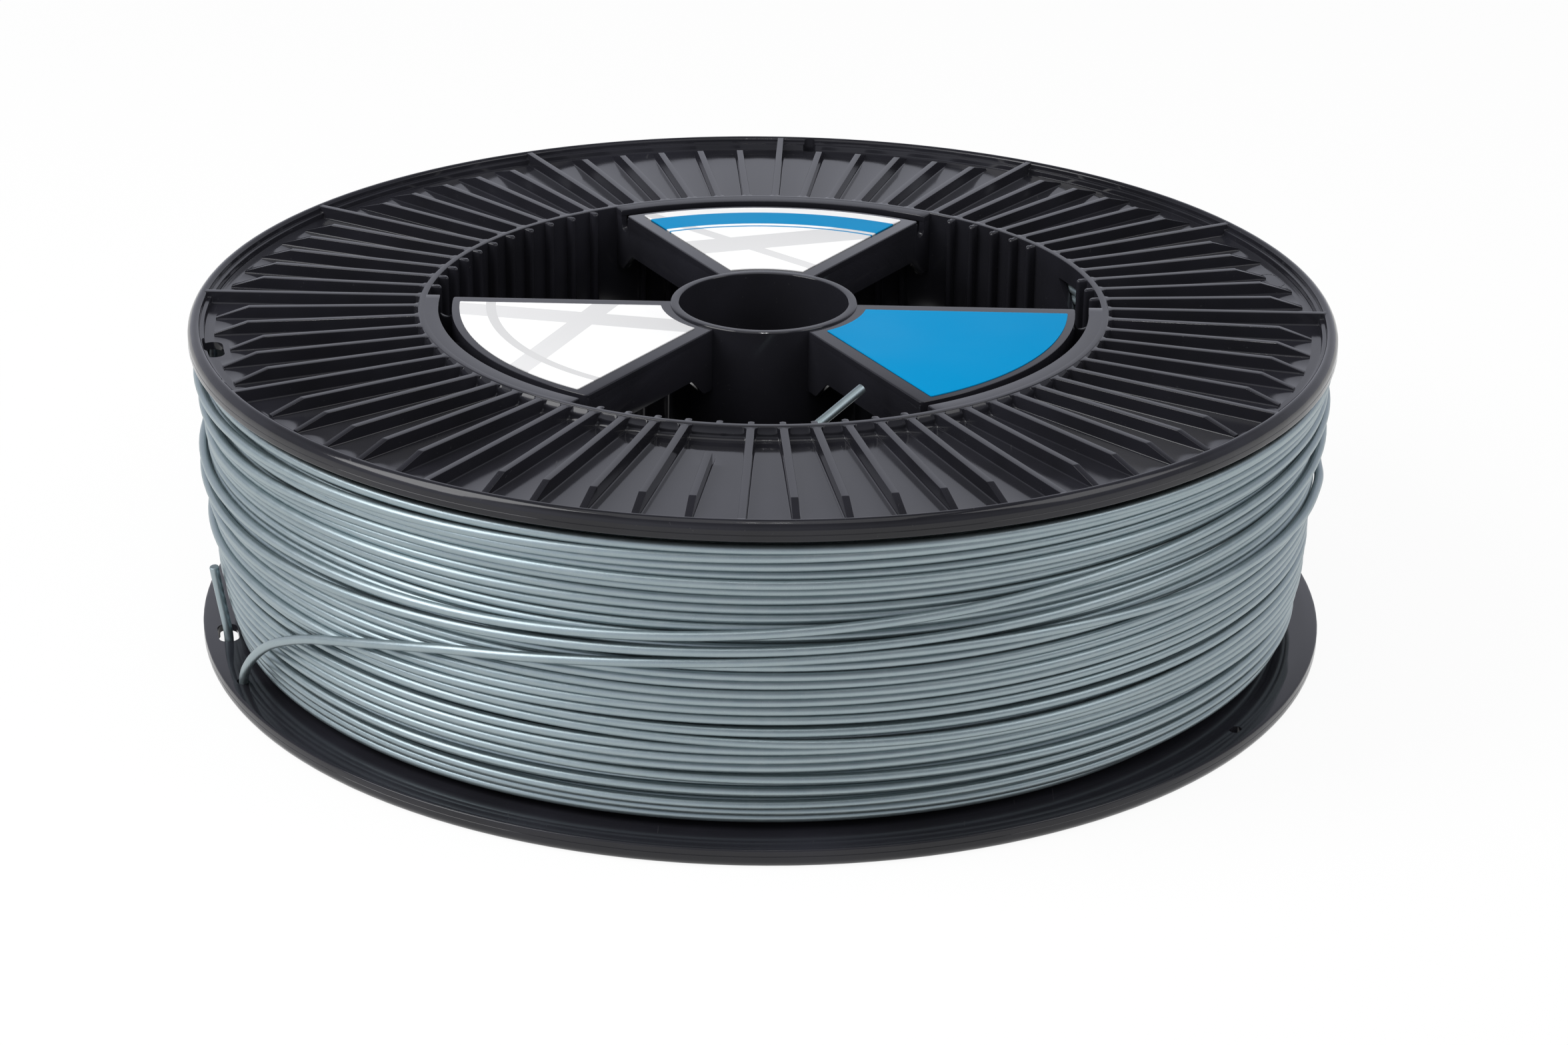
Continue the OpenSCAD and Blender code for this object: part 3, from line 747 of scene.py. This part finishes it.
# Each row is one turn of the outer layer, from the upper flange down: heights of its middle at the
# angles in MARKS, and whether it rides up on its neighbours
MARKS = np.array([190, 210, 230, 250, 270, 290, 310, 330, 350.0])
TRACKS = [
    ([93.4, 93.7, 93.9, 93.9, 93.9, 94.0, 94.0, 94.0, 93.9], 1),
    ([88.0, 88.6, 89.0, 89.0, 88.9, 89.1, 89.5, 90.0, 90.2], 1),
    ([85.0, 85.7, 86.5, 86.7, 86.3, 86.4, 86.8, 87.4, 87.4], 0),
    ([80.4, 81.0, 83.5, 84.4, 83.6, 84.0, 84.6, 84.9, 84.9], 1),
    ([78.7, 79.3, 80.9, 81.6, 81.0, 81.2, 82.0, 82.3, 82.3], 0),
    ([76.6, 78.0, 78.8, 78.8, 78.4, 78.8, 79.6, 79.9, 79.8], 0),
    ([73.8, 76.2, 76.6, 75.9, 75.8, 76.1, 77.0, 77.5, 77.2], 1),
    ([71.6, 73.6, 73.6, 73.0, 72.8, 73.2, 74.2, 74.9, 74.5], 1),
    ([69.0, 71.0, 70.8, 69.9, 70.0, 70.3, 71.3, 72.1, 71.8], 0),
    ([66.2, 68.0, 67.9, 67.2, 67.2, 67.6, 68.5, 69.2, 69.0], 0),
    ([63.4, 65.1, 65.2, 64.4, 64.3, 64.8, 65.6, 66.3, 66.2], 0),
    ([60.6, 62.3, 62.2, 61.6, 61.4, 61.8, 62.7, 63.4, 63.3], 0),
    ([57.9, 59.7, 59.4, 58.7, 58.4, 58.6, 59.7, 60.5, 60.4], 0),
    ([55.2, 57.1, 56.8, 56.0, 55.6, 55.7, 56.8, 57.6, 57.5], 0),
    ([52.6, 54.6, 54.2, 53.4, 52.9, 53.2, 54.0, 54.7, 54.6], 0),
    ([49.9, 51.9, 51.4, 50.6, 49.9, 50.8, 51.6, 51.6, 51.2], 1),
    ([47.2, 49.2, 48.6, 47.6, 47.2, 47.9, 48.9, 48.8, 48.4], 0),
    ([45.2, 46.7, 46.0, 45.1, 44.7, 44.9, 45.9, 46.2, 45.6], 0),
    ([42.8, 44.7, 43.6, 42.4, 41.8, 41.7, 42.5, 42.6, 42.0], 1),
    ([40.0, 41.2, 40.9, 39.5, 38.3, 38.2, 38.5, 38.8, 38.6], 1),
    ([36.6, 37.9, 38.0, 36.8, 35.0, 34.4, 34.9, 35.2, 35.0], 1),
    ([33.2, 33.9, 33.4, 32.8, 32.4, 32.6, 32.6, 32.2, 31.8], 0),
    ([30.6, 31.2, 30.6, 30.1, 29.8, 30.2, 30.4, 30.0, 29.4], 0),
    ([27.9, 28.6, 27.9, 27.2, 27.2, 27.6, 27.9, 27.6, 27.0], 0),
    ([23.6, 25.3, 24.8, 23.9, 23.2, 23.0, 22.4, 22.9, 23.0], 1),
    ([20.2, 20.4, 19.9, 19.3, 18.8, 18.7, 19.5, 19.3, 18.0], 1),
    ([15.6, 16.3, 15.5, 15.0, 14.8, 15.0, 15.4, 15.2, 14.4], 1),
    ([12.4, 12.9, 12.4, 12.1, 12.1, 12.2, 12.6, 12.8, 12.2], 0),
    ([9.8, 10.2, 9.9, 9.8, 9.8, 9.8, 10.0, 10.2, 9.9], 0),
]
# The same for the two turns that cross the outer layer, the upper one first
CROSS_B = [64.2, 64.8, 64.6, 65.4, 68.9, 73.2, 77.2, 79.9, 81.6]
CROSS_A = [58.2, 58.2, 60.2, 62.0, 64.0, 66.1, 68.2, 70.6, 72.6]
# The tail's middle line: angle, depth inside the rim and height
TAIL = [
    [350, 3, 58.6], [340, 3, 59.4], [330, 3, 60.0], [320, 3, 60.4], [310, 3, 61.3], [300, 3, 62.4],
    [290, 3, 62.6], [280, 3, 62.2], [270, 3, 61.0], [260, 3, 59.2], [250, 3, 56.4], [242, 3, 53.5],
    [237.7, 3, 51.1], [233.2, 3, 48.1], [229.5, 3, 45.3], [225.4, 3, 41.9], [222.3, 3, 38.8],
    [219, 3, 34.6], [216.3, 3, 30.5], [214.2, 3, 26.5], [212.3, 3, 22.2], [210.7, 3.1, 18.2],
    [209, 3.6, 13.7], [208.1, 4, 11], [207.4, 4.3, 8.8], [206.95, 4.6, 7], [206.75, 4.7, 5.4],
    [206.5, 4.9, 3.8], [205.9, 5.2, 2.5], [204.7, 5.6, 1.9], [203, 6, 2],
    [201, 6.3, 2.2], [199, 6.4, 2.2], [197.5, 6.6, 2.2], [196.5, 6.8, 2.9], [196.05, 6.9, 4.5],
    [195.9, 6.9, 7], [195.9, 6.5, 11], [195.9, 5.4, 18], [196.1, 4.3, 25], [196.4, 3.4, 31]]
STEP = 2.0                       # degrees between rings of the strand


def ease(t):
    """From 0 to 1 with a gentle start and end."""
    return t * t * (3 - 2 * t)


def front_and_back(rows, last):
    """Angles, counted down from 350, and heights, for turns that run clockwise seen from above."""
    angles, heights = [], []
    for k, row in enumerate(rows):
        shown = np.arange(350.0, 190.0, -STEP)
        angles.append(shown - 360.0 * k)
        heights.append(np.interp(shown, MARKS, row))
        after = rows[k + 1][-1] if k + 1 < len(rows) else last
        hidden = np.arange(190.0, -10.0, -STEP)
        t = (190.0 - hidden) / 200.0
        angles.append(hidden - 360.0 * k)
        heights.append(row[0] + (after - row[0]) * ease(t))
    return np.concatenate(angles), np.concatenate(heights)


def soften(values, width):
    """A running mean with bell-shaped weights, whose width is in rings of the strand."""
    kernel = np.exp(-0.5 * (np.arange(-3 * width, 3 * width + 1) / width) ** 2)
    kernel /= kernel.sum()
    padded = np.concatenate([np.full(3 * width, values[0]), values, np.full(3 * width, values[-1])])
    return np.convolve(padded, kernel, "valid")


def wobble(angle, seed, amount):
    """A slow smooth wander along the strand."""
    rng = np.random.default_rng(seed)
    total = 0 * angle
    for k in range(14):
        size, pace, start = rng.normal(), rng.uniform(0.3, 4.0), rng.uniform(0, 6.28)
        total = total + size * np.sin(np.radians(angle) * pace + start)
    return amount * total / math.sqrt(7)


class Stack:
    """What has been wound so far, by angle, to find the radius at which the next strand comes to rest."""

    def __init__(self):
        self.bins = [[] for _ in range(int(360 / STEP))]

    def rest(self, angle, z, base, reach):
        r = base.copy()
        for k in range(len(angle)):
            rows = self.bins[int(round(angle[k] / STEP)) % len(self.bins)]
            if rows:
                held = np.array(rows)
                dz = np.abs(held[:, 0] - z[k])
                near = dz < reach
                if near.any():
                    r[k] = max(r[k], (held[near, 1] + np.sqrt(reach * reach - dz[near] ** 2)).max())
        return r

    def add(self, angle, z, r):
        for k in range(len(angle)):
            self.bins[int(round(angle[k] / STEP)) % len(self.bins)].append((z[k], r[k]))


stack = Stack()
# The full layer underneath comes down from the upper flange
under_a = np.arange(350.0, 350.0 - 360.0 * TURNS, -STEP)
under_z = np.linspace(TOP_Z, LOW_Z, len(under_a)) + wobble(under_a, 3, 0.1)
under_z = np.clip(under_z, LOW_Z, TOP_Z)
under_r = envelope(under_z, under_a)
stack.add(under_a, under_z, under_r)

# The outer layer climbs again, turn by turn; the last turns then cross over it
rows = [row for row, _ in reversed(TRACKS)]
rides = [ride for _, ride in reversed(TRACKS)]
outer_a, outer_z = front_and_back(rows, TOP_Z)
outer_z = np.clip(soften(outer_z + wobble(outer_a, 5, 0.13), 4), LOW_Z, TOP_Z + 1.0)
turn_of = np.clip(np.floor((350.0 - outer_a + 80.0) / 360.0).astype(int), 0, len(rides) - 1)
high = np.array(rides)[turn_of] > 0
outer_r = np.empty(len(outer_a))
for group, reach in ((~high, 2.6), (high, 2.68)):
    base = envelope(outer_z[group], outer_a[group])
    outer_r[group] = stack.rest(outer_a[group], outer_z[group], base, reach)
    stack.add(outer_a[group], outer_z[group], outer_r[group])
outer_r = np.minimum(soften(outer_r, 3), RIM - 2.2)

down_a = 350.0 - np.arange(0.0, 360.0, STEP)
down_z = CROSS_B[-1] + (TOP_Z - CROSS_B[-1]) * (1 - ease(np.clip((350.0 - down_a) / 350.0, 0, 1)))
cross_a, cross_z = front_and_back([CROSS_B, CROSS_A], TAIL[0][2])
cross_a = np.concatenate([down_a, cross_a - 360.0])
cross_z = soften(np.concatenate([down_z, cross_z]), 4)
cross_r = np.empty(len(cross_a))
piece_rings = 18                 # laid at a time, so that the turns find each other
for k in range(0, len(cross_a), piece_rings):
    part = slice(k, k + piece_rings)
    base = envelope(cross_z[part], cross_a[part])
    cross_r[part] = stack.rest(cross_a[part], cross_z[part], base, 2.75)
    stack.add(cross_a[part], cross_z[part], cross_r[part])
cross_r = np.minimum(soften(cross_r, 6), RIM - 2.5)
tail = np.array(TAIL, float)

# The first layer on the drum, which shows through the drum's slots, and the way out to the others
first_a = np.arange(350.0, 350.0 - 360.0 * TURNS, -5.0)
first_r = np.full(len(first_a), DRUM_OUT + 0.3 + STRAND / 2)
first_z = np.linspace(LOW_Z, TOP_Z, len(first_a))
out_a = 350.0 - np.arange(5.0, 720.0, 5.0)
share = (350.0 - out_a) / 720.0
out_r = first_r[-1] + (under_r[0] - first_r[-1]) * ease(share)
out_z = np.full(len(out_a), TOP_Z)
cross_path = around(cross_r, cross_a, cross_z)[:-2]
lead = 17                        # rings of the crossing turns that the tail's curve takes over
tail_path = smooth_path(np.concatenate([
    cross_path[-lead::4], around(RIM - tail[:, 1], tail[:, 0], tail[:, 2])]), 1.2)
strand = np.concatenate([
    around(first_r, first_a, first_z), around(out_r, out_a, out_z), around(under_r, under_a, under_z),
    around(outer_r, outer_a, outer_z), cross_path[:-lead], tail_path])
body, faces, strand_uv = tube(strand, STRAND / 2, 12, strand * [1, 1, 0], 0.25)
core_outline = [(DRUM_OUT + 2.2, LOW_Z - 0.6), (envelope(LOW_Z) - 1.4, LOW_Z - 0.6)]
core_outline += [(envelope(z) - 1.2, z) for z in np.linspace(LOW_Z + 2, 90, 16)]
core_outline += [(envelope(90.0) - 1.2, TOP_Z + 0.6), (DRUM_OUT + 2.2, TOP_Z + 0.6)]
core = lathe(core_outline, 120)
build("filament_winding", [(body, faces), core], silver, ["filament_core", "filament_turns"],
      sharp=50.0, uv=np.concatenate([strand_uv, np.zeros((len(core[0]), 2))]))

# ---------------------------------------------------------------- the inner end
EXIT = [[260.6, 0, 23.6], [260.6, -STRAND, 23.6]]
END = [[-15.6, -99.6, 23.3], [-13.1, -97.8, 22.5], [-8.4, -96, 20.8], [-3.2, -94.1, 18.8],
       [2.6, -91.6, 16.3], [8.2, -88.4, 13.6], [13.4, -85, 11], [18.5, -81.4, 8.4],
       [24.7, -75, 5.2], [30.8, -68.9, 1.9]]
route = [around(DRUM_OUT + 0.3 + q[1], q[0], WIDTH - q[2]) for q in EXIT]
route += [np.array([x, y, WIDTH - depth]) for x, y, depth in END]
route = smooth_path(np.array(route), 0.8)
end_body, end_faces, end_uv = tube(route, STRAND / 2, 24, np.array([[0.0, 0.0, 1.0]]), 0.12)
inner_end = build("filament_inner_end", [(end_body, end_faces)], silver, ["filament_start"],
                  sharp=50.0, uv=end_uv)

# ---------------------------------------------------------------- floor and light
def background_rays(n):
    """1 for the rays that should see the pale background: camera, glossy and transmission rays."""
    ray = n("LightPath")
    return n.math("ADD", n.math("ADD", ray.outputs["Is Camera Ray"], ray.outputs["Is Glossy Ray"]),
                  ray.outputs["Is Transmission Ray"], clamp=True)


floor_mat, n = material("floor_pale")
seen = background_rays(n)
lit = n("BsdfDiffuse", n.mix(seen, grey(0.5), grey(0.95)))
shine = n("Emission", grey(1.0), 1.0)
blend = n("MixShader", n.times(seen, 0.93), lit.outputs[0], shine.outputs[0])
n("OutputMaterial", blend.outputs[0])
floor_mesh = bpy.data.meshes.new("floor")
floor_mesh.from_pydata([(-6, -6, 0), (6, -6, 0), (6, 6, 0), (-6, 6, 0)], [], [(0, 1, 2, 3)])
floor_mesh.materials.append(floor_mat)
floor = bpy.data.objects.new("floor", floor_mesh)
bpy.context.scene.collection.objects.link(floor)

world = bpy.data.worlds.new("studio")
bpy.context.scene.world = world
world.use_nodes = True
n = Nodes(world.node_tree)
seen = background_rays(n)
way = n("SeparateXYZ", n("TexCoord").outputs["Generated"])
ahead, height = way.outputs[1], way.outputs[2]
pale = n.ramp(height, 0.35, 0.8, 0.8, 0.18, smooth=True)
beside = n.times(n.ramp(ahead, -0.6, 0.1, 0.8, 0.0), n.ramp(way.outputs[0], -0.6, 0.2, 1.0, 0.1))
pale = n.times(pale, n.add(n.ramp(ahead, 0.1, 0.85, 0.5, 1.0), beside))
fill = n.ramp(ahead, -1.0, 1.0, 0.76, 0.05)
sky = n("Background", n.mix(seen, grey(1.0), (0.87, 0.89, 1.0, 1)),
        n.add(n.times(seen, pale), n.times(n.math("SUBTRACT", 1.0, seen), fill)))
n("OutputWorld", sky.outputs[0])


AIM = Vector((0, 0, 0.05))
for name, place, size, power in (
        ("left_box", (-1.02, -0.33, 1.08), (0.8, 1.1), 15.0),
        ("right_box", (1.03, -0.24, 1.08), (0.8, 0.8), 4.5),
        ("top_box", (0.0, -0.35, 1.65), (1.2, 1.2), 4.5),
        ("glint_left", (-0.01, -0.55, 1.55), (0.04, 0.04), 0.25),
        ("glint_right", (0.08, -0.55, 1.55), (0.04, 0.04), 0.25)):
    data = bpy.data.lights.new(name, "AREA")
    data.shape, data.size, data.size_y, data.energy = "RECTANGLE", size[0], size[1], power
    lamp = bpy.data.objects.new(name, data)
    lamp.location = place
    lamp.rotation_euler = (AIM - Vector(place)).to_track_quat("-Z", "Y").to_euler()
    bpy.context.scene.collection.objects.link(lamp)

view = bpy.context.scene.view_settings
view.view_transform = "Standard"
